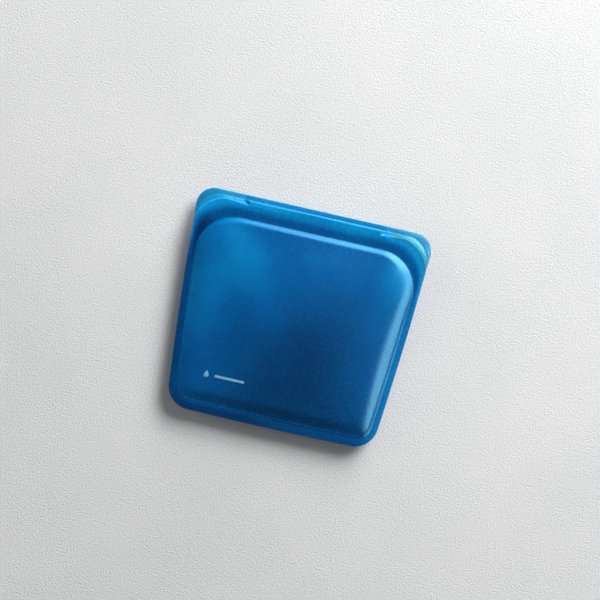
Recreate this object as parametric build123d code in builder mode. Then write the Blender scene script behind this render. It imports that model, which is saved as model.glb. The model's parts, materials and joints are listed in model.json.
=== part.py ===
from build123d import *
import os
from math import atan, tan

# Reusable silicone storage bag, lying on its back.
# Millimetres. X runs across the bag, +Y points towards the mouth, +Z points out of the front.
# The origin is on the surface the bag lies on, under the centre of the bag's outline.

# ---- driving dimensions: outline ----
mouth_width = 192.0          # width of the tapered outline carried up to the mouth edge
base_width = 166.5           # width of the same outline at the base edge
bag_height = 177.0           # base edge to the edge of the back lip
mouth_corner_radius = 14.0
base_corner_radius = 18.0
lip_step = 3.8               # how far the back lip stands past the front lip
front_corner_radius = 17.0   # mouth corners of the front lip
front_turn_in = 2.6          # how far those corners turn in from the bag's side
front_turn_length = 24.0     # over this much of the side

# ---- driving dimensions: thickness ----
bag_thickness = 25.0
wall = 1.2                   # silicone wall of the pans
rim_thickness = 1.5          # rim of one half
bond_thickness = 0.4         # cured bond between the two rims
rim_width = 6.0              # outline to the foot of the pan

# ---- driving dimensions: pocket and seal ----
pan_mouth_inset = 18.5       # mouth edge to the foot of the pan
pan_mouth_radius = 24.0
pan_base_radius = 12.0
pan_radius_loss = (0.35, 0.45)   # how fast the base and mouth radii shrink as a pan's slices step inwards
pan_least_radius = 2.0
seal_height = 2.0            # how far the seal band stands proud of each half
seal_inset = (10.5, 17.0)    # mouth edge to the outer and inner side of the seal band
seal_edge_radius = 0.8
strip_width = 5.4
strip_base = 2.5             # depth of a seal strip's seat in its half
rib_width = 2.0
rib_height = 2.0
rib_tip_radius = 0.8
rib_end_gap = 1.0            # room past each end of the rib, inside the channel
channel_depth = 2.2
channel_width = 2.8

# ---- driving dimensions: lips ----
lip_fold_inset = 9.6         # mouth edge to the line where a lip folds
tab_width = 104.0            # moving part of each lip
band_width = 132.0           # moving part of the seal band
grip_width = 98.0
grip_thickness = 0.8
grip_slant = 3.0             # how much narrower a grip is at its outer edge, on each side
grip_margin = (1.2, 0.6)     # fold line to the grip, and grip to the lip's edge
grip_corner_radius = 0.8
gap = 0.3                    # running gap between pieces that move apart

# ---- driving dimensions: print ----
print_thickness = 0.2
print_depth = 8.0            # crown down to below the lowest part of the print
bar_centre = (-38.5, -57.0)
bar_size = (24.0, 2.0)
drop_radius = 2.2
drop_gap = 4.4               # drop to bar

# ---- derived levels ----
half_height = bag_height / 2
mid_z = bag_thickness / 2
front_under = mid_z + bond_thickness / 2
front_top = front_under + rim_thickness
back_over = mid_z - bond_thickness / 2
back_bottom = back_over - rim_thickness
lean = atan((mouth_width - base_width) / 2 / bag_height)
fold_y = half_height - lip_fold_inset
band_y = (half_height - seal_inset[1], half_height - seal_inset[0])
strip_y = sum(band_y) / 2
pan_foot_y = half_height - pan_mouth_inset
base_foot_y = -half_height + rim_width

# Each pan is drawn as slices: (distance in from the pan's outline, height above the half's inner plane).
front_slices = [(0.0, 0.0), (0.5, 2.6), (1.6, 4.6), (4.2, 6.6), (11.0, 9.2), (22.0, 11.2), (36.0, 12.3)]
back_slices = [(0.0, 0.0), (0.5, 2.6), (1.8, 5.6), (4.6, 9.0), (9.0, 11.4), (15.0, 12.3)]


def half_width_at(y):
    """Half the width of the tapered outline at height y."""
    return (mouth_width + base_width) / 4 + y * tan(lean)


def tapered_corners(inset, base_y, top_y):
    """Corners of a tapered outline whose sides lie inset inside the bag's own sides."""
    base_half = half_width_at(base_y) - inset
    top_half = half_width_at(top_y) - inset
    return [(-base_half, base_y), (base_half, base_y), (top_half, top_y), (-top_half, top_y)]


def rounded_outline(corners, base_radius, top_radius):
    """A four-cornered outline with one radius for its base corners and one for its mouth corners."""
    with BuildSketch() as outline:
        with BuildLine():
            Polyline(*corners, close=True)
        make_face()
        fillet(outline.vertices().group_by(Axis.Y)[0], base_radius)
        fillet(outline.vertices().group_by(Axis.Y)[-1], top_radius)
    return outline.sketch


def pan_outline(inset):
    """Outline of a pan, moved inwards by inset all round."""
    corners = tapered_corners(rim_width + inset, base_foot_y + inset, pan_foot_y - inset)
    base_radius = max(pan_base_radius - inset * pan_radius_loss[0], pan_least_radius)
    top_radius = max(pan_mouth_radius - inset * pan_radius_loss[1], pan_least_radius)
    return rounded_outline(corners, base_radius, top_radius)


def pan_solid(slices, level, direction, thinner=0.0, clearance=0.0):
    """A pan's outer shape, or with thinner set, the hollow that is that much inside it."""
    with BuildPart() as pan:
        for number, (inset, height) in enumerate(slices):
            rise = height - thinner if height > thinner else 0.0
            start = -rim_thickness if thinner and number == 0 else rise
            with BuildSketch(Plane.XY.offset(level + direction * start)):
                add(pan_outline(inset + thinner + clearance))
        loft(ruled=True)
    return pan.part


full_outline = rounded_outline(
    tapered_corners(0.0, -half_height, half_height), base_corner_radius, mouth_corner_radius
)

# The front lip stops short of the back lip, and its corners turn in to meet the side rim lower down.
front_top_y = half_height - lip_step
front_side_slope = tan(lean) - front_turn_in / front_turn_length
front_top_half = half_width_at(front_top_y) - front_turn_in
front_base_half = front_top_half - front_side_slope * (front_top_y + half_height)

with BuildSketch() as front_reach:
    with BuildLine():
        Polyline(
            (-front_base_half, -half_height),
            (front_base_half, -half_height),
            (front_top_half, front_top_y),
            (-front_top_half, front_top_y),
            close=True,
        )
    make_face()
    fillet(front_reach.vertices().group_by(Axis.Y)[-1], front_corner_radius)

with BuildSketch() as front_outline:
    add(full_outline)
    add(front_reach.sketch, mode=Mode.INTERSECT)

# ---- back half ----
with BuildPart() as back_wall:
    with BuildSketch(Plane.XY.offset(back_bottom)):
        add(full_outline)
    extrude(amount=rim_thickness)
    add(pan_solid(back_slices, back_over, -1))
    with BuildSketch(Plane.XY.offset(back_bottom - seal_height)):
        with Locations((0, strip_y)):
            Rectangle(band_width, band_y[1] - band_y[0])
    extrude(amount=seal_height)
    fillet(back_wall.edges().filter_by(Axis.X).filter_by_position(
        Axis.Z, back_bottom - seal_height, back_bottom - seal_height), seal_edge_radius)
    add(pan_solid(back_slices, back_over, -1, thinner=wall), mode=Mode.SUBTRACT)
    with BuildSketch(Plane.XY.offset(back_over)):
        with Locations((0, strip_y)):
            Rectangle(band_width - 2 * gap, strip_width)
    extrude(amount=-strip_base, mode=Mode.SUBTRACT)
    with BuildSketch(Plane.XY.offset(back_bottom)):
        with Locations((0, fold_y)):
            Rectangle(tab_width + 2 * gap, 2 * lip_fold_inset, align=(Align.CENTER, Align.MIN))
    extrude(amount=rim_thickness, mode=Mode.SUBTRACT)
back_wall.part.label = "back_wall"

# ---- front half: the bonded rim ----
with BuildSketch() as rim_shape:
    add(front_outline.sketch)
    add(pan_outline(0.0), mode=Mode.SUBTRACT)
    with Locations((0, pan_foot_y - pan_mouth_radius)):
        Rectangle(
            band_width + 2 * gap, bag_height, align=(Align.CENTER, Align.MIN), mode=Mode.SUBTRACT
        )

with BuildPart() as front_rim:
    with BuildSketch(Plane.XY.offset(front_under)):
        add(rim_shape.sketch)
    extrude(amount=rim_thickness)
front_rim.part.label = "front_rim"

with BuildPart() as seam_bond:
    with BuildSketch(Plane.XY.offset(back_over)):
        add(rim_shape.sketch)
    extrude(amount=bond_thickness)
seam_bond.part.label = "seam_bond"

# ---- front half: the wall that bows out ----
with BuildSketch() as band_shape:
    with Locations((0, pan_foot_y - pan_mouth_radius)):
        Rectangle(band_width, fold_y - pan_foot_y + pan_mouth_radius, align=(Align.CENTER, Align.MIN))

with BuildSketch() as corner_shape:
    with Locations((0, fold_y)):
        Rectangle(band_width, bag_height, align=(Align.CENTER, Align.MIN))
    with Locations((0, fold_y - gap)):
        Rectangle(
            tab_width + 2 * gap, bag_height, align=(Align.CENTER, Align.MIN), mode=Mode.SUBTRACT
        )
    add(front_outline.sketch, mode=Mode.INTERSECT)

with BuildPart() as front_wall:
    with BuildSketch(Plane.XY.offset(front_under)):
        add(band_shape.sketch)
        add(corner_shape.sketch)
    extrude(amount=rim_thickness)
    add(pan_solid(front_slices, front_under, 1, clearance=gap))
    with BuildSketch(Plane.XY.offset(front_top)):
        with Locations((0, strip_y)):
            Rectangle(band_width, band_y[1] - band_y[0])
    extrude(amount=seal_height)
    fillet(front_wall.edges().filter_by(Axis.X).filter_by_position(
        Axis.Z, front_top + seal_height, front_top + seal_height), seal_edge_radius)
    add(pan_solid(front_slices, front_under, 1, thinner=wall, clearance=gap), mode=Mode.SUBTRACT)
    with BuildSketch(Plane.XY.offset(front_under)):
        with Locations((0, strip_y)):
            Rectangle(band_width - 2 * gap, strip_width)
    extrude(amount=strip_base, mode=Mode.SUBTRACT)
front_wall.part.label = "front_wall"

# ---- press seal ----
with BuildPart() as seal_channel:
    with BuildSketch(Plane.YZ):
        with Locations((strip_y, back_over)):
            Rectangle(strip_width, strip_base, align=(Align.CENTER, Align.MAX))
            Rectangle(channel_width, channel_depth, align=(Align.CENTER, Align.MAX), mode=Mode.SUBTRACT)
    extrude(amount=band_width / 2 - gap, both=True)
seal_channel.part.label = "seal_channel"

with BuildPart() as seal_rib:
    with BuildSketch(Plane.YZ):
        with Locations((strip_y, front_under)):
            Rectangle(rib_width, rib_height, align=(Align.CENTER, Align.MAX))
    extrude(amount=band_width / 2 - gap - rib_end_gap, both=True)
    fillet(seal_rib.edges().filter_by(Axis.X).group_by(Axis.Z)[0], rib_tip_radius)
    with BuildSketch(Plane.YZ):
        with Locations((strip_y, front_under)):
            Rectangle(strip_width, strip_base, align=(Align.CENTER, Align.MIN))
    extrude(amount=band_width / 2 - gap, both=True)
seal_rib.part.label = "seal_rib"

# ---- lips and their pull tabs ----
def lip_shape(top_y):
    """Flat outline of one lip's moving part."""
    with BuildSketch() as shape:
        with Locations((0, fold_y + gap)):
            Rectangle(tab_width, top_y - fold_y - gap, align=(Align.CENTER, Align.MIN))
    return shape.sketch


def grip_shape(top_y):
    """Outline of a pull tab: a band with slanted ends along the lip."""
    low_y = fold_y + grip_margin[0]
    high_y = top_y - grip_margin[1]
    with BuildSketch() as shape:
        with BuildLine():
            Polyline(
                (-grip_width / 2, low_y),
                (grip_width / 2, low_y),
                (grip_width / 2 - grip_slant, high_y),
                (-grip_width / 2 + grip_slant, high_y),
                close=True,
            )
        make_face()
        fillet(shape.vertices(), grip_corner_radius)
    return shape.sketch


with BuildPart() as front_lip:
    with BuildSketch(Plane.XY.offset(front_under)):
        add(lip_shape(front_top_y))
    extrude(amount=rim_thickness)
front_lip.part.label = "front_lip"

with BuildPart() as front_grip:
    with BuildSketch(Plane.XY.offset(front_top)):
        add(grip_shape(front_top_y))
    extrude(amount=grip_thickness)
front_grip.part.label = "front_grip"

with BuildPart() as back_lip:
    with BuildSketch(Plane.XY.offset(back_bottom)):
        add(lip_shape(half_height))
    extrude(amount=rim_thickness)
back_lip.part.label = "back_lip"

with BuildPart() as back_grip:
    with BuildSketch(Plane.XY.offset(back_bottom - grip_thickness)):
        add(grip_shape(half_height))
    extrude(amount=grip_thickness)
back_grip.part.label = "back_grip"

# ---- generic print: a drop and a write-on bar, lying on the front wall ----
with BuildPart() as printed_mark:
    with BuildSketch(Plane.XY.offset(bag_thickness)):
        with Locations(bar_centre):
            SlotOverall(*bar_size)
        with Locations((bar_centre[0] - bar_size[0] / 2 - drop_gap - drop_radius, bar_centre[1])):
            Circle(drop_radius)
    extrude(amount=-print_depth)
    add(pan_solid(front_slices, front_under + print_thickness, 1, clearance=gap), mode=Mode.INTERSECT)
    add(pan_solid(front_slices, front_under, 1, clearance=gap), mode=Mode.SUBTRACT)
printed_mark.part.label = "printed_mark"

pieces = [
    back_wall, front_rim, seam_bond, seal_channel, front_wall, seal_rib,
    front_lip, front_grip, back_lip, back_grip, printed_mark,
]
os.makedirs("parts", exist_ok=True)
for piece in pieces:
    export_step(piece.part, f"parts/{piece.part.label}.step")
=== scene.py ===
import json
import math

import bpy
import numpy as np
from mathutils import Matrix, Vector
from mathutils.bvhtree import BVHTree


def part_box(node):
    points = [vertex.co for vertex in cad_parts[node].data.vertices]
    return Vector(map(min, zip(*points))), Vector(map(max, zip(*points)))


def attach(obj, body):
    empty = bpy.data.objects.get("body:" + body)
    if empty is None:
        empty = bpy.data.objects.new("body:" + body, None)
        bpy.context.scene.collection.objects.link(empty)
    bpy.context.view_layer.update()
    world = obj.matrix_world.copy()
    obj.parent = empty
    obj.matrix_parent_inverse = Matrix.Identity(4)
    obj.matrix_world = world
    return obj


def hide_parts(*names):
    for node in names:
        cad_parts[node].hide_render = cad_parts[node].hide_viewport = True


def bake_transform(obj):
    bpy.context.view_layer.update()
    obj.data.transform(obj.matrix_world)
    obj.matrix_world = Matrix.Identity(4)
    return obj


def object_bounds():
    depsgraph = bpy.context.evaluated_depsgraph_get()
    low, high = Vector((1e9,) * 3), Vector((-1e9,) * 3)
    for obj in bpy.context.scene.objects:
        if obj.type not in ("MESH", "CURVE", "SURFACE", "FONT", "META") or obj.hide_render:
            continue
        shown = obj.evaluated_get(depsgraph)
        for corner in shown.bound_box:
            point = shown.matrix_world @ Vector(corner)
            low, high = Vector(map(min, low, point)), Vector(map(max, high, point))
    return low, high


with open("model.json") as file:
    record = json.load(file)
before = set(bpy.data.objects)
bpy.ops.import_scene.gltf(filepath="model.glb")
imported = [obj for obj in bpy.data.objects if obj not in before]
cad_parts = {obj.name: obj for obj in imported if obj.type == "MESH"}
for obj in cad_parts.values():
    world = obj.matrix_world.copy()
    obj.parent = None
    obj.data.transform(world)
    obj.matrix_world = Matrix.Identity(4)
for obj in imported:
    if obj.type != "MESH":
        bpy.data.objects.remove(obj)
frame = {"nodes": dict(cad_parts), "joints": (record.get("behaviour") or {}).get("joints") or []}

# A reusable silicone bag lying on its back. Metres, +Y towards the mouth, +Z out of the front.
cad_low, cad_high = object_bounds()
MM = 0.001

# ---- levels and lines that come from the frame ----
FRONT_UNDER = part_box("front_rim")[0].z
FRONT_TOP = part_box("front_rim")[1].z
BACK_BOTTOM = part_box("back_lip")[0].z
BACK_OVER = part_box("back_lip")[1].z
FLOOR_Z = cad_low.z
CROWN_Z = cad_high.z
MOUTH_Y = cad_high.y
BASE_Y = cad_low.y
FRONT_MOUTH_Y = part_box("front_lip")[1].y
TAB_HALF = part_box("front_lip")[1].x
STRIP_LOW, STRIP_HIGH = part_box("seal_channel")
RIB_LOW, RIB_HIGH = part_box("seal_rib")
JOINTS = {joint["name"]: joint for joint in frame["joints"]}
FOLD_Y = JOINTS["front_lip_flex"]["pos_m"][1]

# ---- outline ----
MOUTH_WIDTH = 192.0 * MM
BASE_WIDTH = 166.5 * MM
HALF_WIDTH = (MOUTH_WIDTH + BASE_WIDTH) / 4
LEAN = math.atan((MOUTH_WIDTH - BASE_WIDTH) / 2 / (MOUTH_Y - BASE_Y))
BASE_RADIUS = 18.0 * MM
MOUTH_RADIUS = 14.0 * MM
FRONT_MOUTH_RADIUS = 17.0 * MM
FRONT_TURN_IN = 2.6 * MM              # how far the front lip's corners turn in from the side rim
FRONT_TURN_START = 58.0 * MM          # where along the side that starts
SIDE_BOW = 1.1 * MM                   # the soft sides bow outwards by this at mid height
BASE_LIFT = 0.9 * MM                  # the base corners sit about this much higher than its middle
LIFT_FADE = (-45.0 * MM, -85.0 * MM)  # the lifts come in between these heights
LIFT_REACH, LIFT_LIMIT = 80.0 * MM, 1.3   # and grow with the square of the distance from the middle
MOUTH_FADE = (20.0 * MM, 58.0 * MM)   # the sides turn into the mouth between these heights

# ---- rim, seal band and lips ----
RIM_WIDTH = 6.0 * MM
SIDE_RIM = 5.2 * MM                   # the pan's soft foot comes this near the side edges
EDGE_RADIUS = 0.65 * MM
SIDE_LIP = 0.95 * MM                  # what is left of the lip's width along the sides
STEP_WIDTH = 2.1 * MM                 # flank between the thin lip and the raised seal band
FOLD_MARGIN = 0.5 * MM                # flank to the lip's fold line
RIM_DROOP, DROOP_CURVE = 0.6 * MM, 1.5  # the bonded rim hangs this far below its foot
DROOP_FADE = (30.0 * MM, 60.0 * MM)   # and stops hanging between these heights
BAND_FADE = (42.0 * MM, 64.0 * MM)    # the raised band leaves the side rim's edge between these heights
BAND_FALL = 0.9                       # how far along its fall from ridge to foot the band is at the foot
FRONT_BAND = (1.8 * MM, 1.2 * MM)     # rise at the ridge and at the pan's foot
BACK_BAND = (2.0 * MM, 1.7 * MM)
TAB_RISE = 1.75 * MM
TAB_ROUND, TAB_EDGE_LOSS = 2.0 * MM, 0.6
TAB_END, TAB_SLANT, TAB_FLANK = 54.0 * MM, 3.0 * MM, 1.8 * MM
TAB_FROM_Y = 60.0 * MM                # the rim below this has no tab
LIP_TAPER = 0.45 * MM                 # the thin lips beside the tab thin out towards their edge
FRONT_HANG, BACK_HANG = 0.5 * MM, 1.1 * MM   # and hang by this much
HANG_CURVE = 1.2
LIP_FADE = (66.0 * MM, 78.0 * MM)     # the lips' waves come in between these heights
LIP_WAVES = ((0.35 * MM, 26.0 * MM, 0.6), (0.20 * MM, 11.0 * MM, 2.0))   # height, length and phase
BEAD_RISE = 0.28 * MM                 # fine moulded line along the foot of the pan
BEAD_INSET, BEAD_HALF = 1.9 * MM, 0.9 * MM
SEAT_DEPTH = 2.6 * MM                 # the seal strip is let into the back half this deep
SEAT_FLANK, SEAT_END, SEAT_ROOM = 0.15 * MM, 2.0 * MM, 0.05 * MM

# ---- pans ----
FRONT_PAN_Y = 69.8 * MM
BACK_PAN_Y = 70.5 * MM
PAN_MOUTH_RADIUS, MOUTH_RADIUS_LOSS = 31.0 * MM, 0.45   # radius at the foot, and loss for each mm inwards
PAN_BASE_RADIUS, BASE_RADIUS_LOSS = 12.0 * MM, 0.35
LEAST_RADIUS = 2.0 * MM
BASE_TURN, MOUTH_TURN = 1.6, 0.45     # how early in its corner the base's edge ends and the mouth's starts
WALL = 1.2 * MM
SIDE_STEP, BASE_STEP = 3.6 * MM, 3.0 * MM   # height of the front pan's soft edge step
CORNER_STEP = 1.4 * MM                # and how much more it rises towards the mouth corners
CORNER_FADE = (8.0 * MM, 48.0 * MM)
STEP_BLEND = 45.0 * MM                # the steps even out this far in
SIDE_RUN, SIDE_CURVE = 15.0 * MM, 2.4
BASE_RUN = 13.0 * MM
MOUTH_STEP, MOUTH_RUN, MOUTH_CURVE = 1.9 * MM, 5.2 * MM, 0.8
BACK_RUN, BACK_CURVE = 15.0 * MM, 4
BACK_FOOT_SHARE, BACK_FOOT_RUN, BACK_FOOT_CURVE = 0.25, 12.0 * MM, 3
DOME_ACROSS, DOME_BASE_CURVE = 2.0, 2.2
DOME_MOUTH_LOSS, DOME_MOUTH_CURVE = 0.80, 1.4
WAVE_HEIGHT, WAVE_FADE = 0.35 * MM, 20.0 * MM
WAVE_SPAN = (190.0 * MM, 177.0 * MM)

# ---- each point's share of the joints' motion ----
OPENING_FADE = 14.0 * MM              # the mouth's opening comes in over this distance from the base rim
TAB_SIDE_FADE, FOLD_FADE = 18.0 * MM, 3.0 * MM   # a lip's flex comes in from the tab's ends and from the fold

# ---- how many points ----
BASE_STEPS, BASE_ARC, SIDE_STEPS, TOP_ARC, TOP_OUTER, TOP_INNER = 50, 16, 84, 26, 20, 52
HALF_STEPS = BASE_STEPS + BASE_ARC + SIDE_STEPS + TOP_ARC + TOP_OUTER + TOP_INNER
RING = 2 * HALF_STEPS
TAB_CUT_LIMIT = 0.85                  # the tab's cut stays within this share of the straight top

# ---- where the rings of points lie ----
EDGE_ROWS = 6
LIP_ROWS = (0.2, 0.4, 0.6, 0.8, 1.0)
FLANK_ROWS = (0.17, 0.33, 0.5, 0.67, 0.83, 1.0)
BAND_ROWS = (0.1, 0.32, 0.42, 0.52, 0.62, 0.72, 0.82, 1.0)
PAN_INSETS = np.array([
    0.2, 0.4, 0.6, 0.85, 1.1, 1.35, 1.6, 1.9, 2.2, 2.55, 2.9, 3.3, 3.7, 4.2, 4.8, 5.5, 6.3, 7.3, 8.5, 10.0,
    12.0, 14.2, 16.6, 19.5, 23.0, 27.0, 31.5, 36.5, 42.0, 48.0, 54.0, 60.0, 66.0, 70.0,
]) * MM
MIDDLE_SHARES = (0.6, 0.25, 0.0)      # the last rings shrink to one point
MIDDLE_INSETS = np.array([2.5, 4.5, 6.0]) * MM

# ---- tone of the silicone, with painted light and shade: 0.5 is its middle blue, more is clearer and lighter and less is deeper and darker ----
PLAIN_TONE = 0.5
FRONT_LIP_TONE = (0.36, 0.42)         # on the tab, and how much more on the thin lip beside it
BACK_LIP_TONE = (0.76, 0.15)
# the lean paints the thin lips lighter on the right, where the lamps are, and darker on the left: painted
# light
LIP_TONE_FADE, LIP_PAINTED_LIGHT_LEAN = 12.0 * MM, 0.25
LIP_TONE_END, BAND_TONE_START = 1.3, 1.2   # how soon past the lip its tone ends and the band's starts
BAND_TONE = -0.12
# the rim's slope across, its right side and its base are painted light at the right and painted shade at the
# left and the base
RIM_TONE, RIM_PAINTED_LIGHT_SLOPE, RIGHT_RIM_PAINTED_LIGHT, BASE_RIM_PAINTED_SHADE = -0.13, 0.12, 0.13, -0.12
SHADED_CORNER_TONE = -0.40
SHADED_CORNER_X, SHADED_CORNER_Y = (-74.0 * MM, -88.0 * MM), (60.0 * MM, 76.0 * MM)
# painted highlight along the front pan's crest at the mouth
CREST_PAINTED_HIGHLIGHT, CREST_FADE, CREST_END, CREST_REACH = 0.20, (1.0 * MM, 1.9 * MM), 2.7 * MM, 1.4 * MM
# painted shade just inside the crest at the mouth
BELOW_CREST_PAINTED_SHADE, VALLEY_FADE, VALLEY_REACH = -0.12, (2.5 * MM, 6.5 * MM), 14.0 * MM
# painted shade across the middle of the pan, for the bag's shadow seen through its walls
MIDDLE_PAINTED_SHADE, MIDDLE_CENTRE, MIDDLE_REACH = -0.42, (14.0 * MM, -36.0 * MM), (50.0 * MM, 46.0 * MM)
# painted light and sheen at the right mouth corner
CORNER_PAINTED_LIGHT, CORNER_CENTRE, CORNER_REACH = 0.24, (74.0 * MM, 44.0 * MM), (14.0 * MM, 20.0 * MM)
# a lighter slanted patch at the upper left of the pan
PATCH_TONE, PATCH_CENTRE, PATCH_REACH = 0.21, (-14.0 * MM, -37.0 * MM), (26.0 * MM, 34.0 * MM)
PATCH_SLANT = 0.8
# painted light on the pan's left slope, which faces away from the lamps
LEFT_PAINTED_LIGHT, LEFT_X, LEFT_Y = 0.17, (-36.0 * MM, -66.0 * MM), (-62.0 * MM, -12.0 * MM)
LEFT_LOSS, LEFT_LOSS_Y = 0.6, (15.0 * MM, 45.0 * MM)
# darker towards the base, more on the right
LOW_TONE, LOW_X, LOW_Y = -0.10, (-30.0 * MM, 30.0 * MM), (-30.0 * MM, -70.0 * MM)


def smooth(t):
    """Smooth step from 0 to 1."""
    t = np.clip(t, 0.0, 1.0)
    return t * t * (3 - 2 * t)


def fade(value, start, end):
    """Smooth step from 0 at the start to 1 at the end."""
    return smooth((value - start) / (end - start))


def mix(a, b, t):
    """From a to b by the share t."""
    return a + (b - a) * t


def round_over(inset, run, curve):
    """0 at the foot to 1 at the end of the run, steep at first and then rounding over."""
    return 1 - (1 - np.clip(inset / run, 0, 1)) ** curve


def spot(x, y, centre, reach):
    """A soft patch: 1 at its centre, fading out all round."""
    return np.exp(-((x - centre[0]) / reach[0]) ** 2 - ((y - centre[1]) / reach[1]) ** 2)


def half_width_at(y):
    """Half the width of the tapered outline at height y."""
    return HALF_WIDTH + y * math.tan(LEAN)


def side_hang(y):
    """1 along the base and sides, where the bonded rim hangs, and 0 at the mouth."""
    return 1 - fade(y, *DROOP_FADE)


def ring(base_y, top_y, side_inset, base_radius, top_radius):
    """Points of a rounded tapered outline, anticlockwise from the middle of the base."""
    side = HALF_WIDTH * math.cos(LEAN) - side_inset

    def arc_centre(y, radius):
        return (side - radius + y * math.sin(LEAN)) / math.cos(LEAN), y

    def arc(centre, radius, start, end, steps):
        angle = np.linspace(start, end, steps + 1)[1:]
        return np.stack([centre[0] + radius * np.cos(angle), centre[1] + radius * np.sin(angle)], 1)

    def line(start, end, steps):
        share = np.linspace(0, 1, steps + 1)[1:, None]
        return np.array(start) + share * (np.array(end) - np.array(start))

    low = arc_centre(base_y + base_radius, base_radius)
    high = arc_centre(top_y - top_radius, top_radius)
    cut_x = min(TAB_HALF, high[0] * TAB_CUT_LIMIT)
    base_arc = arc(low, base_radius, -math.pi / 2, -LEAN, BASE_ARC)
    side_end = (high[0] + top_radius * math.cos(-LEAN), high[1] + top_radius * math.sin(-LEAN))
    half = np.concatenate([
        np.array([[0.0, base_y]]),
        line((0, base_y), (low[0], base_y), BASE_STEPS),
        base_arc,
        line(base_arc[-1], side_end, SIDE_STEPS),
        arc(high, top_radius, -LEAN, math.pi / 2, TOP_ARC),
        line((high[0], top_y), (cut_x, top_y), TOP_OUTER),
        line((cut_x, top_y), (0, top_y), TOP_INNER),
    ])
    left = half[-2:0:-1] * (-1, 1)
    return np.concatenate([half, left])


def pan_sides():
    """For each column of a ring, the mouth's share and the base's share of the pan's edge there."""
    arc_base = 1 - smooth(BASE_TURN * (np.arange(1, BASE_ARC + 1) - 0.5) / BASE_ARC)
    arc_mouth = fade(np.arange(1, TOP_ARC + 1) / TOP_ARC, MOUTH_TURN, 1.0)
    straight = TOP_OUTER + TOP_INNER
    past_base = SIDE_STEPS + TOP_ARC + straight
    to_mouth = BASE_STEPS + 1 + BASE_ARC + SIDE_STEPS
    base = np.concatenate([np.ones(BASE_STEPS + 1), arc_base, np.zeros(past_base)])
    mouth = np.concatenate([np.zeros(to_mouth), arc_mouth, np.ones(straight)])
    return [np.concatenate([half, half[-2:0:-1]])[None] for half in (mouth, base)]


def relax(points):
    """The soft outline's small bows, the same for every ring."""
    x, y = points[..., 0], points[..., 1]
    bowed_x = x * (1 + SIDE_BOW / HALF_WIDTH * (1 - (y / MOUTH_Y) ** 2))
    lift = BASE_LIFT * np.minimum((x / LIFT_REACH) ** 2, LIFT_LIMIT)
    return np.stack([bowed_x, y + fade(y, *LIFT_FADE) * lift], -1)


def undulation(x, y):
    """Soft unevenness of the filled-out walls, in metres."""
    u, v = x / WAVE_SPAN[0], y / WAVE_SPAN[1]
    waves = np.sin(5.1 * u + 2.3 * v + 0.7) * np.cos(4.3 * v - 1.9 * u)
    waves += 0.5 * np.sin(9.7 * u - 6.1 * v + 2.0)
    return WAVE_HEIGHT * waves


def lip_wave(x):
    """The lips aren't quite flat along the mouth."""
    return sum(height * np.sin(x / length + phase) for height, length, phase in LIP_WAVES)


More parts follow.
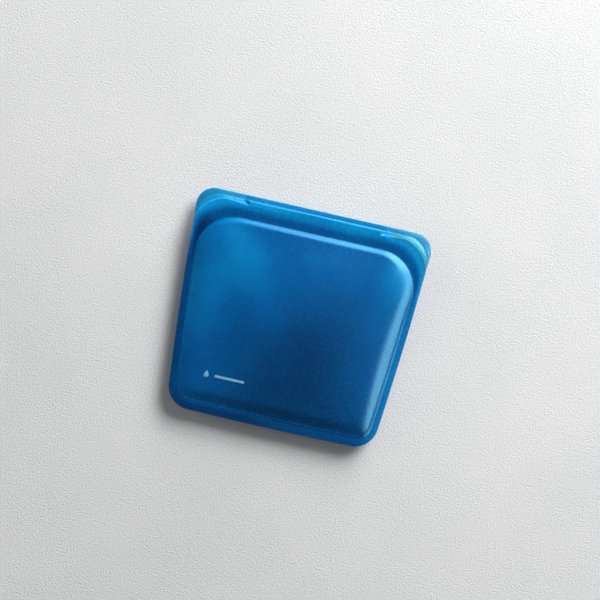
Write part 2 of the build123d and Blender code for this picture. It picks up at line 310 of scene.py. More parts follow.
class Half:
    """Point rings for one half of the bag: rim rings from the outline to the pan's foot, then pan rings."""

    def __init__(self, mouth_y, mouth_radius, pan_y, turn_in, hang, lip_tone):
        self.hang, self.lip_tone = hang, lip_tone
        outline = ring(BASE_Y, mouth_y, 0.0, BASE_RADIUS, mouth_radius)
        turned = fade(outline[:, 1], FRONT_TURN_START, mouth_y)
        outline[:, 0] *= 1 - turn_in / half_width_at(mouth_y) * turned
        foot = ring(BASE_Y + RIM_WIDTH, pan_y, SIDE_RIM, PAN_BASE_RADIUS, PAN_MOUTH_RADIUS)
        self.length = np.linalg.norm(foot - outline, axis=1)
        lip = mouth_y - FOLD_Y - FOLD_MARGIN - STEP_WIDTH
        self.lip_width = mix(SIDE_LIP, lip, fade(outline[:, 1], *BAND_FADE))
        edge_in = self.rim_rows(pan_y)
        rim = outline + (edge_in / self.length)[..., None] * (foot - outline)
        pan = self.pan_rings(pan_y)
        insets = np.append(PAN_INSETS, PAN_INSETS[-1] + MIDDLE_INSETS)
        self.plan = relax(np.concatenate([rim, pan]))
        self.edge_in = np.concatenate([edge_in, np.repeat(self.length[None], len(pan), 0)])
        self.pan_in = np.concatenate([np.zeros(edge_in.shape), np.repeat(insets[:, None], RING, 1)])
        self.x, self.y = self.plan[..., 0], self.plan[..., 1]
        self.in_pan = self.pan_in > 0
        self.at_mouth = fade(self.y, *MOUTH_FADE)
        self.pan_mouth, self.pan_base = pan_sides()

    def rim_rows(self, pan_y):
        """Distance in from the edge of each ring of the rim, column by column."""
        turns = np.linspace(0, math.pi / 2, EDGE_ROWS)
        rows = [np.full(RING, EDGE_RADIUS * (1 - math.cos(turn))) for turn in turns]
        rows += [mix(EDGE_RADIUS, self.lip_width, share) for share in LIP_ROWS]
        rows += [self.lip_width + STEP_WIDTH * share for share in FLANK_ROWS]
        rows.append(rows[-1] + FOLD_MARGIN)
        self.fold_row = len(rows) - 1
        seat_lines = (STRIP_HIGH.y + SEAT_FLANK, STRIP_HIGH.y, STRIP_LOW.y, STRIP_LOW.y - SEAT_FLANK)
        seat_rows = [(FOLD_Y - y) / (FOLD_Y - pan_y) for y in seat_lines]
        rows += [mix(rows[self.fold_row], self.length, share) for share in sorted((*seat_rows, *BAND_ROWS))]
        self.foot_row = len(rows) - 1
        return np.stack(rows)

    def pan_rings(self, pan_y):
        """The pan's rings, from its foot to the one point at its middle."""
        rings = [
            ring(
                BASE_Y + RIM_WIDTH + inset, pan_y - inset, SIDE_RIM + inset,
                max(PAN_BASE_RADIUS - BASE_RADIUS_LOSS * inset, LEAST_RADIUS),
                max(PAN_MOUTH_RADIUS - MOUTH_RADIUS_LOSS * inset, LEAST_RADIUS),
            )
            for inset in PAN_INSETS
        ]
        middle = np.array([0.0, (BASE_Y + RIM_WIDTH + pan_y) / 2])
        return np.stack(rings + [middle + (rings[-1] - middle) * share for share in MIDDLE_SHARES])

    def edge_drop(self):
        """How far the rounded edge falls below the flat of the rim."""
        left = EDGE_RADIUS - np.minimum(self.edge_in, EDGE_RADIUS)
        return EDGE_RADIUS - np.sqrt(np.maximum(EDGE_RADIUS ** 2 - left ** 2, 0))

    def band(self, rise):
        """Rise of the seal band above the rim's plane: a ridge beside the lip, falling to the pan's foot."""
        across = np.clip((self.edge_in - self.lip_width) / (self.length - self.lip_width), 0, 1)
        return self.at_mouth * mix(rise[0], rise[1], smooth(across * BAND_FALL))

    def outward(self):
        """1 at a lip's edge, 0 from the seal band inwards."""
        return 1 - np.clip(self.edge_in / self.lip_width, 0, 1)

    def tab(self):
        """1 on the thickened pull tab, 0 on the thin lip beside it."""
        end = TAB_END + TAB_SLANT * self.outward()
        return smooth((end + TAB_FLANK / 2 - np.abs(self.x)) / TAB_FLANK) * (self.y > TAB_FROM_Y)

    def rim_rise(self, rise):
        """Height of the outer skin above the rim's plane, everywhere outside the pan."""
        flank = smooth((self.edge_in - self.lip_width) / STEP_WIDTH)
        rounding = 1 - TAB_EDGE_LOSS * (1 - np.clip(self.edge_in / TAB_ROUND, 0, 1)) ** 2
        taper = LIP_TAPER * self.outward() * self.at_mouth
        return mix(mix(-taper, TAB_RISE * rounding, self.tab()), self.band(rise), flank)

    def bead(self):
        """A fine moulded line just inside the foot of the pan, which ends at the mouth."""
        across = np.clip(np.abs(self.pan_in - BEAD_INSET) / BEAD_HALF, 0, 1)
        return BEAD_RISE * (1 + np.cos(math.pi * across)) / 2 * self.in_pan * (1 - self.at_mouth)

    def droop(self):
        """How far the rim hangs, most at its edge and nothing at the mouth."""
        outward = 1 - np.clip(self.edge_in / self.length, 0, 1)
        return RIM_DROOP * outward ** DROOP_CURVE * side_hang(self.y)

    def lip_bend(self):
        """How far both skins of a lip wave and hang together, fading out at the fold."""
        free = smooth(1 - self.edge_in / (self.lip_width + STEP_WIDTH)) * fade(self.y, *LIP_FADE)
        hang = self.hang * self.outward() ** HANG_CURVE * self.at_mouth * (1 - self.tab())
        return free * lip_wave(self.x) - hang

    def seat(self):
        """1 where the seal strip is let into the inner skin."""
        along = smooth((STRIP_HIGH.x + SEAT_END - np.abs(self.x)) / SEAT_END)
        inside = (self.y > STRIP_LOW.y - SEAT_ROOM) & (self.y < STRIP_HIGH.y + SEAT_ROOM)
        return along * inside * ~self.in_pan


front = Half(FRONT_MOUTH_Y, FRONT_MOUTH_RADIUS, FRONT_PAN_Y, FRONT_TURN_IN, FRONT_HANG, FRONT_LIP_TONE)
back = Half(MOUTH_Y, MOUTH_RADIUS, BACK_PAN_Y, 0.0, BACK_HANG, BACK_LIP_TONE)


def dome(x, y):
    """The front wall's broad crown, as a share of its full height."""
    side = half_width_at(y) - RIM_WIDTH
    across = 1 - np.minimum(np.abs(x) / side, 1) ** DOME_ACROSS
    up = 1 - DOME_MOUTH_LOSS * np.clip(y / FRONT_PAN_Y, 0, 1) ** DOME_MOUTH_CURVE
    down = 1 - np.clip(y / (BASE_Y + RIM_WIDTH), 0, 1) ** DOME_BASE_CURVE
    return across * up * down


def front_step(half, inset):
    """Share of the front pan's edge step reached at an inset: firm at the mouth, soft elsewhere."""
    soft = mix(round_over(inset, SIDE_RUN, SIDE_CURVE), smooth(inset / BASE_RUN), half.pan_base)
    firm = smooth(np.clip(inset / MOUTH_RUN, 0, 1) ** MOUTH_CURVE)
    return mix(soft, firm, half.pan_mouth)


def front_heights(half):
    """Upper and lower skin of the front half."""
    side_step = SIDE_STEP + CORNER_STEP * fade(half.y, *CORNER_FADE)
    step = mix(mix(side_step, BASE_STEP, half.pan_base), MOUTH_STEP, half.pan_mouth)
    step = mix(step, SIDE_STEP, smooth(half.pan_in / STEP_BLEND))
    crown = step + (CROWN_Z - FRONT_TOP - step) * dome(half.x, half.y)
    crown += undulation(half.x, half.y) * smooth(half.pan_in / WAVE_FADE)
    outer = FRONT_TOP + mix(half.rim_rise(FRONT_BAND), crown, front_step(half, half.pan_in))
    outer += half.bead() - half.edge_drop()
    inner_step = front_step(half, np.maximum(half.pan_in - WALL, 0))
    inner = mix(FRONT_UNDER, FRONT_TOP + crown - WALL, inner_step) + half.edge_drop()
    shift = half.lip_bend() - half.droop()
    return outer + shift, inner + shift


def back_heights(half):
    """Upper and lower skin of the back half, which rests on the surface under it."""
    foot = round_over(half.pan_in, BACK_FOOT_RUN, BACK_FOOT_CURVE)
    settled = mix(round_over(half.pan_in, BACK_RUN, BACK_CURVE), foot, BACK_FOOT_SHARE)
    outer = mix(BACK_BOTTOM - half.rim_rise(BACK_BAND), FLOOR_Z, settled) + half.edge_drop()
    inner_settled = round_over(np.maximum(half.pan_in - WALL, 0), BACK_RUN, BACK_CURVE)
    inner = mix(BACK_OVER, FLOOR_Z + WALL, inner_settled) - half.edge_drop() - SEAT_DEPTH * half.seat()
    shift = half.lip_bend() - half.droop()
    return inner + shift, outer + shift


# ---- tone, with painted light and shade ----
def lip_tones(half):
    """The lips are clear, most of all where they are thin, with painted light making the thin lips lighter on
    the right than on the left, and the seal band is a little deeper.
    """
    lip_end = half.lip_width + STEP_WIDTH / 2
    past_lip = np.clip((half.edge_in - lip_end) / (half.length - lip_end), 0, 1)
    # painted light: the thin lips on the right lighter, those on the left darker
    thin = fade(np.abs(half.x), TAB_END, TAB_END + LIP_TONE_FADE) * (1 + LIP_PAINTED_LIGHT_LEAN * np.sign(half.x))
    lips = (half.lip_tone[0] + half.lip_tone[1] * thin) * (1 - smooth(past_lip * LIP_TONE_END))
    band = BAND_TONE * (1 - smooth(1 - past_lip * BAND_TONE_START))
    return (lips + band) * half.at_mouth * ~half.in_pan


def rim_tones_and_painted_light(half):
    """The bonded rim is a little deeper, with painted shade making it darker at the left and along the base,
    painted light making it lighter at the right, and painted shade in the left mouth corner.
    """
    across = half.x / HALF_WIDTH
    # painted light at the right of the rim, painted shade at its left and along the base
    right = RIGHT_RIM_PAINTED_LIGHT * np.maximum(across, 0) * (1 - half.pan_base)
    rim = RIM_TONE + RIM_PAINTED_LIGHT_SLOPE * across + right + BASE_RIM_PAINTED_SHADE * half.pan_base
    corner = fade(half.x, *SHADED_CORNER_X) * (1 - fade(half.y, *SHADED_CORNER_Y))
    return (rim * (1 - half.at_mouth) + SHADED_CORNER_TONE * corner * half.at_mouth) * ~half.in_pan


def pan_tones_and_painted_light(half):
    """Painted light and shade on the pan: a painted highlight along its crest at the mouth with painted shade
    just inside it, painted shade across the middle, painted light on the left slope and at the right mouth
    corner, a lighter slanted patch at the upper left and a darker area towards the base on the right.
    """
    x, y, inset = half.x, half.y, half.pan_in
    # painted highlight along the crest at the mouth
    crest = fade(inset, *CREST_FADE) * np.exp(-np.maximum(inset - CREST_END, 0) / CREST_REACH)
    # painted shade just inside the crest
    valley = fade(inset, *VALLEY_FADE) * np.exp(-inset / VALLEY_REACH)
    # painted light on the left slope
    left = fade(x, *LEFT_X) * fade(y, *LEFT_Y) * (1 - LEFT_LOSS * fade(y, *LEFT_LOSS_Y))
    areas = PATCH_TONE * spot(x + PATCH_SLANT * y, x, PATCH_CENTRE, PATCH_REACH)
    # painted shade across the middle
    areas += MIDDLE_PAINTED_SHADE * spot(x, y, MIDDLE_CENTRE, MIDDLE_REACH)
    # painted light and sheen at the right mouth corner
    areas += CORNER_PAINTED_LIGHT * spot(x, y, CORNER_CENTRE, CORNER_REACH)
    areas += LEFT_PAINTED_LIGHT * left + LOW_TONE * fade(x, *LOW_X) * fade(y, *LOW_Y)
    return (half.pan_mouth * (CREST_PAINTED_HIGHLIGHT * crest + BELOW_CREST_PAINTED_SHADE * valley) + areas) * half.in_pan


def clearness_and_painted_light(half):
    """Tone of the silicone at each point of a half, with its painted light and shade."""
    return PLAIN_TONE + lip_tones(half) + rim_tones_and_painted_light(half) + pan_tones_and_painted_light(half)


# ---- meshes ----
def add_object(name, data):
    """A new object in the scene, from its mesh, camera or light."""
    thing = bpy.data.objects.new(name, data)
    bpy.context.scene.collection.objects.link(thing)
    return thing


def add_mesh(name, points, faces):
    """A smooth-shaded object that keeps the rest place of each of its points."""
    points = np.asarray(points, float)
    mesh = bpy.data.meshes.new(name)
    mesh.from_pydata(points.tolist(), [], faces)
    mesh.shade_smooth()
    rest = mesh.attributes.new("rest_place", "FLOAT_VECTOR", "POINT")
    rest.data.foreach_set("vector", points.astype(np.float32).ravel())
    mesh.validate()
    return add_object(name, mesh)


def add_shell(name, points, skin_faces, cut_faces, tones):
    """One piece of a half, with sharp edges round its cut faces. Only the points in use are kept."""
    used = np.unique(np.concatenate([skin_faces[skin_faces >= 0], cut_faces.ravel()]))
    place = np.full(len(points), -1)
    place[used] = np.arange(len(used))
    skin = [[int(place[i]) for i in face if i >= 0] for face in skin_faces]
    cut = place[cut_faces].tolist()
    thing = add_mesh(name, points[used], skin + cut)
    sharp = {tuple(sorted(pair)) for face in cut for pair in zip(face, face[1:] + face[:1])}
    for edge in thing.data.edges:
        if tuple(sorted(edge.vertices)) in sharp:
            edge.use_edge_sharp = True
    clear = thing.data.attributes.new("clearness_and_painted_light", "FLOAT", "POINT")
    clear.data.foreach_set("value", tones[used].astype(np.float32))
    return thing


def shell_faces(half):
    """Faces of a half's closed shell: the wall's, the lip strip's, and the cut between the two.

    All are quads but those at the last ring, which is one point. These are triangles, with -1 in the fourth
    place. The cut's faces are turned for the wall.
    """
    rows = len(half.x)
    lower = rows * RING
    row, column = np.meshgrid(np.arange(rows - 1), np.arange(RING), indexing="ij")
    after = (column + 1) % RING
    here, inward = row * RING, (row + 1) * RING
    upper_skin = np.stack([here + column, here + after, inward + after, inward + column], -1)
    lower_skin = (upper_skin + lower)[..., ::-1].copy()
    middle = (rows - 1) * RING
    upper_skin[-1, :, 2], upper_skin[-1, :, 3] = middle, -1
    lower_skin[-1, :, :3] = (upper_skin[-1, :, :3] + lower)[:, ::-1]
    lower_skin[-1, :, 3] = -1
    around, around_after = column[0], after[0]
    edge = np.stack([around, lower + around, lower + around_after, around_after], -1)
    first, last = HALF_STEPS - TOP_INNER, HALF_STEPS + TOP_INNER
    in_tab = (column >= first) & (column < last)
    in_strip = in_tab & (row < half.fold_row)
    strip = np.concatenate([upper_skin[in_strip], lower_skin[in_strip], edge[in_tab[0]]])
    wall = np.concatenate([upper_skin[~in_strip], lower_skin[~in_strip], edge[~in_tab[0]]])
    fold = half.fold_row * RING + np.arange(first, last)
    along = np.stack([fold, fold + 1, fold + 1 + lower, fold + lower], -1)
    down = np.arange(half.fold_row) * RING
    side = np.stack([down, down + RING, down + RING + lower, down + lower], -1)
    cut = np.concatenate([along[:, ::-1], (side + first)[:, ::-1], side + last])
    return wall, strip, cut


def build_half(half, skins, wall_name, strip_name):
    """Wall and lip strip of one half, as two closed shells that meet along the cut."""
    points = np.concatenate([np.stack([half.x, half.y, skin], -1).reshape(-1, 3) for skin in skins])
    tones = np.tile(clearness_and_painted_light(half).ravel(), 2)
    wall, strip, cut = shell_faces(half)
    return (
        add_shell(wall_name, points, wall, cut, tones),
        add_shell(strip_name, points, strip, cut[:, ::-1], tones),
    )


# ---- each point's share of the joints' motion, worked out and not kept ----
def weight(thing, values_at):
    places = np.zeros(len(thing.data.vertices) * 3, np.float32)
    thing.data.attributes["rest_place"].data.foreach_get("vector", places)
    x, y, _ = places.reshape(-1, 3).astype(float).T
    values_at(x, y).astype(np.float32)


def opening_share(x, y):
    """How far a point of the front half goes with the opening mouth: 0 at the bonded rim, 1 in the middle."""
    edge = half_width_at(y) - RIM_WIDTH
    inward = np.clip((edge - np.abs(x)) / (edge - TAB_HALF), 0, 1)
    across = inward - 0.5 * np.sin(2 * math.pi * inward) / (2 * math.pi)
    return across * smooth((y - BASE_Y - RIM_WIDTH) / OPENING_FADE)


def lip_share(x, y):
    """How far a point of a lip goes with the flexed tab: 0 along the fold and at both ends of the tab."""
    return smooth((TAB_HALF - np.abs(x)) / TAB_SIDE_FADE) * smooth((y - FOLD_Y) / FOLD_FADE)


# ---- materials ----
def srgb(r, g, b):
    """Linear colour from 0-255 display values."""
    def linear(c):
        c = c / 255
        return c / 12.92 if c <= 0.04045 else ((c + 0.055) / 1.055) ** 2.4
    return (linear(r), linear(g), linear(b), 1.0)


class Nodes:
    """A material's node tree, with short calls to add and join nodes."""

    def __init__(self, name):
        self.material = bpy.data.materials.new(name)
        self.material.use_nodes = True
        self.tree = self.material.node_tree
        self.shader = self.tree.nodes["Principled BSDF"]

    def add(self, kind, **settings):
        node = self.tree.nodes.new(kind)
        for key, value in settings.items():
            setattr(node, key, value)
        return node

    def join(self, output, socket):
        self.tree.links.new(output, socket)

    def attribute(self, name):
        return self.add("ShaderNodeAttribute", attribute_name=name, attribute_type="GEOMETRY")

    def noise(self, place, scale, detail, roughness=0.5):
        node = self.add("ShaderNodeTexNoise")
        node.inputs["Scale"].default_value = scale
        node.inputs["Detail"].default_value = detail
        node.inputs["Roughness"].default_value = roughness
        self.join(place, node.inputs["Vector"])
        return node.outputs["Fac"]

    def ramp(self, factor, stops):
        node = self.add("ShaderNodeValToRGB")
        elements = node.color_ramp.elements
        while len(elements) < len(stops):
            elements.new(0.5)
        for element, (position, colour) in zip(elements, stops):
            element.position = position
            element.color = colour
        self.join(factor, node.inputs["Fac"])
        return node.outputs["Color"]

    def math(self, operation, a, b):
        node = self.add("ShaderNodeMath", operation=operation)
        for socket, value in zip(node.inputs, (a, b)):
            if isinstance(value, (int, float)):
                socket.default_value = value
            else:
                self.join(value, socket)
        return node.outputs["Value"]

    def swing(self, noise, amount):
        """A noise's difference from its middle value, times an amount."""
        return self.math("MULTIPLY", self.math("SUBTRACT", noise, 0.5), amount)

    def bump(self, height, strength, distance, normal=None):
        node = self.add("ShaderNodeBump")
        node.inputs["Strength"].default_value = strength
        node.inputs["Distance"].default_value = distance
        self.join(height, node.inputs["Height"])
        if normal is not None:
            self.join(normal, node.inputs["Normal"])
        return node.outputs["Normal"]


DEEP_BLUE = srgb(0, 40, 92)
MID_BLUE = srgb(0, 98, 168)
CLEAR_BLUE = srgb(4, 160, 224)
THIN_BLUE = srgb(36, 132, 168)
SILICONE_STOPS = [(0.0, DEEP_BLUE), (0.35, MID_BLUE), (0.7, CLEAR_BLUE), (1.0, THIN_BLUE)]
INK_STOPS = [(0.32, srgb(60, 125, 175)), (0.45, srgb(120, 180, 215)), (0.7, srgb(150, 205, 232))]
PLASTER_STOPS = [(0.3, srgb(232, 232, 232)), (0.7, srgb(240, 240, 239))]
TONE_ON_RAMP = 0.7                    # where on the silicone's ramp a tone of 1 falls
CLOUD_SWING, MOTTLE_SWING = 0.45, 0.10
SATIN, ROUGHNESS_SWING = 0.24, 0.06
INK_ROUGHNESS, INK_ROUGHNESS_SWING = 0.45, 0.15
SILICONE_IOR = 1.41
COOL_SHEEN = (0.30, 0.90, 1.0, 1.0)


def silicone(name, tone=None, roughness=SATIN, has_rest_place=True):
    """Pigmented platinum silicone: satin, cloudy in depth, with a fine moulded grain.

    The tone, with its painted light and shade, comes from the mesh's tone attribute unless one is given. A
    CAD mesh has no rest place of its own.
    """
    n = Nodes(name)
    if has_rest_place:
        place = n.attribute("rest_place").outputs["Vector"]
    else:
        place = n.add("ShaderNodeTexCoord").outputs["Object"]
    level = n.attribute("clearness_and_painted_light").outputs["Fac"] if tone is None else tone
    level = n.math("ADD", n.swing(n.noise(place, scale=14.0, detail=2.0), CLOUD_SWING), level)
    mottle = n.noise(place, scale=90.0, detail=4.0, roughness=0.6)
    level = n.math("ADD", level, n.swing(mottle, MOTTLE_SWING))
    n.join(n.ramp(n.math("MULTIPLY", level, TONE_ON_RAMP), SILICONE_STOPS), n.shader.inputs["Base Color"])
    grain = n.noise(place, scale=2600.0, detail=2.0)
    skin = n.noise(place, scale=420.0, detail=3.0)
    rough = n.math("ADD", roughness, n.math("MULTIPLY", skin, ROUGHNESS_SWING))
    n.join(rough, n.shader.inputs["Roughness"])
    fine = n.bump(grain, strength=0.18, distance=0.06 * MM)
    n.join(n.bump(skin, strength=0.04, distance=0.25 * MM, normal=fine), n.shader.inputs["Normal"])
    n.shader.inputs["IOR"].default_value = SILICONE_IOR
    n.shader.inputs["Specular IOR Level"].default_value = 0.9
    n.shader.inputs["Specular Tint"].default_value = COOL_SHEEN
    n.shader.inputs["Subsurface Weight"].default_value = 0.8
    n.shader.inputs["Subsurface Radius"].default_value = (0.25, 0.6, 1.0)
    n.shader.inputs["Subsurface Scale"].default_value = 4.0 * MM
    return n.material


def print_ink():
    """Pale screen-printed ink with a little pigment grain."""
    n = Nodes("pale_print_ink")
    place = n.attribute("rest_place").outputs["Vector"]
    grain = n.noise(place, scale=1800.0, detail=3.0, roughness=0.6)
    wear = n.noise(place, scale=260.0, detail=4.0, roughness=0.6)
    level = n.math("ADD", n.math("MULTIPLY", grain, 0.5), n.math("MULTIPLY", wear, 0.5))
    n.join(n.ramp(level, INK_STOPS), n.shader.inputs["Base Color"])
    rough = n.math("ADD", INK_ROUGHNESS, n.math("MULTIPLY", grain, INK_ROUGHNESS_SWING))
    n.join(rough, n.shader.inputs["Roughness"])
    n.join(n.bump(grain, strength=0.3, distance=0.04 * MM), n.shader.inputs["Normal"])
    return n.material


def plaster():
    """Pale plaster tabletop with a fine stipple."""
    n = Nodes("plaster_floor")
    place = n.add("ShaderNodeTexCoord").outputs["Object"]
    fine = n.noise(place, scale=700.0, detail=4.0, roughness=0.6)
    broad = n.noise(place, scale=7.0, detail=3.0)
    n.join(n.ramp(broad, PLASTER_STOPS), n.shader.inputs["Base Color"])
    n.shader.inputs["Roughness"].default_value = 0.8
    n.join(n.bump(fine, strength=0.8, distance=1.0 * MM), n.shader.inputs["Normal"])
    return n.material


blue_silicone = silicone("blue_silicone")
strip_silicone = silicone("seal_strip_silicone", tone=0.3, has_rest_place=False)
rib_silicone = silicone("seal_rib_silicone", tone=0.3)
bond_silicone = silicone("cured_bond_silicone", tone=0.35, roughness=0.47)
ink = print_ink()


def finish_piece(thing, material):
    """Gives a piece its one material."""
    thing.data.materials.clear()
    thing.data.materials.append(material)


# ---- the two halves ----
front_skin, front_tab = build_half(front, front_heights(front), "front_half_wall", "front_lip_tab")
back_skin, back_tab = build_half(back, back_heights(back), "back_half_wall", "back_lip_tab")
for thing in (front_skin, front_tab, back_skin, back_tab):
    finish_piece(thing, blue_silicone)

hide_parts("front_wall", "front_rim")
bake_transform(front_skin)
weight(front_skin, opening_share)
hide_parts("front_lip", "front_grip")
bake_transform(front_tab)
weight(front_tab, lip_share)
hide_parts("back_wall")
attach(back_skin, "bag")
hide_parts("back_lip", "back_grip")
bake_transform(back_tab)
weight(back_tab, lip_share)


# ---- press seal ----
RIB_BASE_HALF, RIB_HALF = 2.6 * MM, 1.0 * MM
RIB_TIP_RADIUS, RIB_TIP_POINTS = 0.8 * MM, 13
RIB_FOOT = 0.25 * MM                  # chamfer between the rib and its base
RIB_PROUD, RIB_BURIED = 0.05 * MM, 0.6 * MM   # how far its base stands out of the front half and goes in
RIB_END_RUN, RIB_STATIONS = 2.5 * MM, 132


def build_rib():
    """The male strip: a rounded rib on a low base along the front half's inner side."""
    middle = (RIB_LOW.y + RIB_HIGH.y) / 2
    skin, buried = FRONT_UNDER - RIB_PROUD, FRONT_UNDER + RIB_BURIED
    tip_z = RIB_LOW.z + RIB_TIP_RADIUS
    tip = [
        (middle + RIB_HALF * math.cos(angle), tip_z + RIB_TIP_RADIUS * math.sin(angle))
        for angle in np.linspace(0, -math.pi, RIB_TIP_POINTS)
    ]
    right = [
        (middle + RIB_BASE_HALF, buried),
        (middle + RIB_BASE_HALF, skin),
        (middle + RIB_HALF + RIB_FOOT, skin),
        (middle + RIB_HALF, skin - RIB_FOOT),
    ]
    profile = right + tip + [(2 * middle - y, z) for y, z in right[::-1]]
    stations = np.linspace(-RIB_HIGH.x, RIB_HIGH.x, RIB_STATIONS)
    points, faces = [], []
    for x in stations:
        end = min(1.0, (RIB_HIGH.x - abs(x)) / RIB_END_RUN)
        lift = math.sqrt(max(0.0, 1 - (1 - end) ** 2))
        for y, z in profile:
            points.append((x, y, z if z >= skin else skin + (z - skin) * lift))
    count = len(profile)
    last = (RIB_STATIONS - 1) * count
    for start in range(0, last, count):
        for p in range(count):
            q = (p + 1) % count
            faces.append([start + p, start + count + p, start + count + q, start + q])
    faces.append(list(range(count)))
    faces.append([last + p for p in range(count)][::-1])
    return points, faces


rib = add_mesh("seal_rib_strip", *build_rib())
finish_piece(rib, rib_silicone)
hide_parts("seal_rib")
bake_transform(rib)
weight(rib, opening_share)

channel = frame["nodes"]["seal_channel"]
channel.data.materials.clear()
channel.data.materials.append(strip_silicone)


# ---- cured bond between the rims ----
BOND_ROWS = (0.45 * MM, 1.5 * MM, 3.0 * MM, 4.5 * MM)   # distance in from the edge
BOND_OVERLAP = 0.1 * MM               # how far the bond goes into each rim


def build_bond():
    """A U of cured silicone between the two rims, set back a little from their edges."""
    outline = front.plan[0]
    foot = front.plan[front.foot_row]
    inward = (foot - outline) / np.linalg.norm(foot - outline, axis=1)[:, None]
    end = BASE_STEPS + BASE_ARC + SIDE_STEPS + TOP_ARC // 2
    columns = np.arange(-end, end + 1)
    low, high = BACK_OVER - BOND_OVERLAP, FRONT_UNDER + BOND_OVERLAP
    hangs = side_hang(outline[columns, 1])
    over, under = [], []
    for step in BOND_ROWS:
        row = outline[columns] + inward[columns] * step
        drop = np.interp(step, front.edge_in[:, 0], front.droop()[:, 0]) * hangs
        over.append(np.column_stack([row, high - drop]))
        under.append(np.column_stack([row, low - drop]))
    loop = over + under[::-1]
    count, faces = len(columns), []
    for k in range(len(loop)):
        after = (k + 1) % len(loop)
        for c in range(count - 1):
            faces.append([k * count + c, k * count + c + 1, after * count + c + 1, after * count + c])
    faces.append([k * count for k in range(len(loop))])
    faces.append([k * count + count - 1 for k in range(len(loop))][::-1])
    return np.concatenate(loop), faces


bond = add_mesh("cured_bond", *build_bond())
finish_piece(bond, bond_silicone)
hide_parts("seam_bond")
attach(bond, "bag")


# ---- generic print on the front ----
PRINT_LEVELS = (0.05 * MM, -0.10 * MM)   # the patch's two faces, from the wall's outer skin
PRINT_SINK = 0.04 * MM                # the upper face's edge sits this much lower
PRINT_SHARES = (1.0, 0.97, 0.8, 0.6, 0.4, 0.2)
mark_low, mark_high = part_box("printed_mark")
MARK_Y = (mark_low.y + mark_high.y) / 2
DROP_REACH = (mark_high.y - mark_low.y) / 2
DROP_RADIUS, DROP_LIFT = DROP_REACH * 0.86, DROP_REACH * 0.75
DROP_PINCH, DROP_POINT, DROP_POINTS = 0.25, 5, 56
DROP_SINK = 0.4 * MM                  # the round part sits this far below the bar's line
DROP_CENTRE = (mark_low.x + DROP_REACH, MARK_Y - DROP_SINK)
BAR_LENGTH = mark_high.x - mark_low.x - 4 * DROP_REACH
BAR_HALF = 1.0 * MM
BAR_END_POINTS, BAR_SIDE_STEPS = 14, 15

front_tree = BVHTree.FromPolygons(
    [v.co for v in front_skin.data.vertices], [list(p.vertices) for p in front_skin.data.polygons]
)


def print_patch(name, outline, middle):
    """A thin printed patch that follows the front wall: rings of an outline shrinking to its middle."""
    points, faces = [], []
    for level in PRINT_LEVELS:
        for share in PRINT_SHARES:
            for x, y in outline:
                px, py = mix(middle[0], x, share), mix(middle[1], y, share)
                hit = front_tree.ray_cast(Vector((px, py, 1.0)), Vector((0, 0, -1)))[0]
                sink = PRINT_SINK if share == 1.0 and level > 0 else 0.0
                points.append((px, py, hit.z + level - sink))
    count, rings = len(outline), len(PRINT_SHARES)
    for side in range(2):
        start = side * rings * count
        turn = 1 if side == 0 else -1
        for r in range(rings - 1):
            for c in range(count):
                a, b = start + r * count + c, start + r * count + (c + 1) % count
                faces.append([a, b, b + count, a + count][::turn])
        faces.append([start + (rings - 1) * count + c for c in range(count)][::turn])
    under = rings * count
    for c in range(count):
        after = (c + 1) % count
        faces.append([c, under + c, under + after, after])
    return add_mesh(name, points, faces)


def drop_outline():
    """A water drop, point up."""
    points = []
    for angle in np.linspace(0, 2 * math.pi, DROP_POINTS, endpoint=False):
        rise = max(0.0, math.sin(angle)) ** DROP_POINT
        x = DROP_RADIUS * math.cos(angle) * (1 - DROP_PINCH * rise)
        y = DROP_RADIUS * math.sin(angle) + DROP_LIFT * rise
        points.append((DROP_CENTRE[0] + x, DROP_CENTRE[1] + y))
    return points, DROP_CENTRE


def bar_outline():
    """A rounded write-on bar."""
    centre_x = mark_high.x - BAR_LENGTH / 2
    reach = BAR_LENGTH / 2 - BAR_HALF
    points = []
    for turn, side in ((0.0, 1), (math.pi, -1)):
        for angle in np.linspace(-math.pi / 2, math.pi / 2, BAR_END_POINTS):
            x = centre_x + side * reach + BAR_HALF * math.cos(angle + turn)
            points.append((x, MARK_Y + BAR_HALF * math.sin(angle + turn)))
        for share in np.linspace(0, 1, BAR_SIDE_STEPS + 1)[1:-1]:
            points.append((centre_x + side * reach * (1 - 2 * share), MARK_Y + side * BAR_HALF))
    return points, (centre_x, MARK_Y)


for patch_name, shape in (("print_drop", drop_outline), ("print_bar", bar_outline)):
    patch = print_patch(patch_name, *shape())
    finish_piece(patch, ink)
    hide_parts("printed_mark")
    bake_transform(patch)
    weight(patch, opening_share)


# ---- floor, light and camera ----
FLOOR_HALF, FLOOR_GAP = 3.0, 0.05 * MM
ROLL = math.radians(12.75)            # the bag lies turned clockwise in the view
VIEW_RIGHT = Vector((math.cos(ROLL), math.sin(ROLL), 0))
VIEW_UP = Vector((-math.sin(ROLL), math.cos(ROLL), 0))
VIEW_WIDTH = 475.0 * MM               # how much of the table the view takes in
VIEW_OFFSET = (5.6 * MM, 15.4 * MM)   # view centre from the bag's centre, to the right and up
LENS, SENSOR = 85.0, 36.0
CLIP_START, CLIP_END = 0.05, 20.0


def make_floor():
    """The tabletop, a hair under the bag."""
    mesh = bpy.data.meshes.new("floor")
    corners = [(x * FLOOR_HALF, y * FLOOR_HALF, 0) for x, y in ((-1, -1), (1, -1), (1, 1), (-1, 1))]
    mesh.from_pydata(corners, [], [(0, 1, 2, 3)])
    floor = add_object("floor", mesh)
    floor.location = (0, 0, FLOOR_Z - FLOOR_GAP)
    mesh.materials.append(plaster())


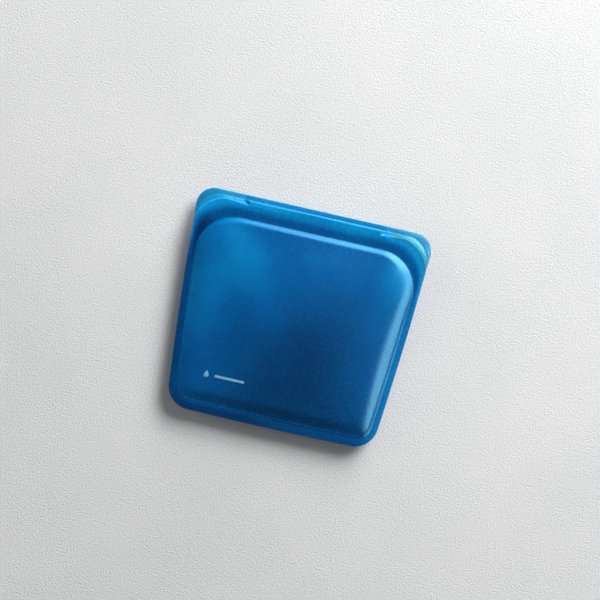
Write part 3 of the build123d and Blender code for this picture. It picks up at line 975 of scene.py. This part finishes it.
def make_camera():
    """Looks straight down, turned by the roll."""
    data = bpy.data.cameras.new("camera")
    data.lens, data.sensor_width = LENS, SENSOR
    data.clip_start, data.clip_end = CLIP_START, CLIP_END
    camera = add_object("camera", data)
    distance = VIEW_WIDTH * LENS / SENSOR
    aim = VIEW_RIGHT * VIEW_OFFSET[0] + VIEW_UP * VIEW_OFFSET[1]
    place = aim + Vector((0, 0, distance + FRONT_TOP))
    axes = Matrix((VIEW_RIGHT, VIEW_UP, Vector((0, 0, 1)))).transposed().to_4x4()
    camera.matrix_world = Matrix.Translation(place) @ axes
    bpy.context.scene.camera = camera


def area_light(name, azimuth, elevation, distance, size, power, sheen=True, fill=True):
    """A rectangular light aimed at the frame's origin. Azimuth turns from the view's right towards its top.

    Without sheen it shows in no reflection, and without fill it shows in reflections alone.
    """
    data = bpy.data.lights.new(name, "AREA")
    data.shape, data.size, data.size_y, data.energy = "RECTANGLE", size[0], size[1], power
    light = add_object(name, data)
    turn, rise = math.radians(azimuth), math.radians(elevation)
    flat = VIEW_RIGHT * math.cos(turn) + VIEW_UP * math.sin(turn)
    direction = flat * math.cos(rise) + Vector((0, 0, math.sin(rise)))
    light.location = direction * distance
    light.rotation_mode = "QUATERNION"
    light.rotation_quaternion = direction.to_track_quat("Z", "Y")
    light.visible_diffuse, light.visible_glossy = fill, sheen


def make_world():
    """A dim, slightly cool room."""
    world = bpy.data.worlds.new("studio")
    world.use_nodes = True
    background = world.node_tree.nodes["Background"]
    background.inputs["Color"].default_value = (0.93, 0.96, 1.0, 1)
    background.inputs["Strength"].default_value = 0.12
    bpy.context.scene.world = world


make_floor()
make_camera()
make_world()
area_light("window", azimuth=46, elevation=37, distance=2.2, size=(1.1, 1.1), power=47.0)
area_light("low_window", azimuth=66, elevation=19, distance=2.4, size=(1.2, 1.2), power=33.0)
area_light("sheen_card", azimuth=-12, elevation=38, distance=2.2, size=(3.6, 0.8), power=68.0, fill=False)
area_light("left_fill", azimuth=165, elevation=28, distance=2.4, size=(1.2, 1.2), power=6.5, sheen=False)
bpy.context.scene.view_settings.view_transform = "Standard"
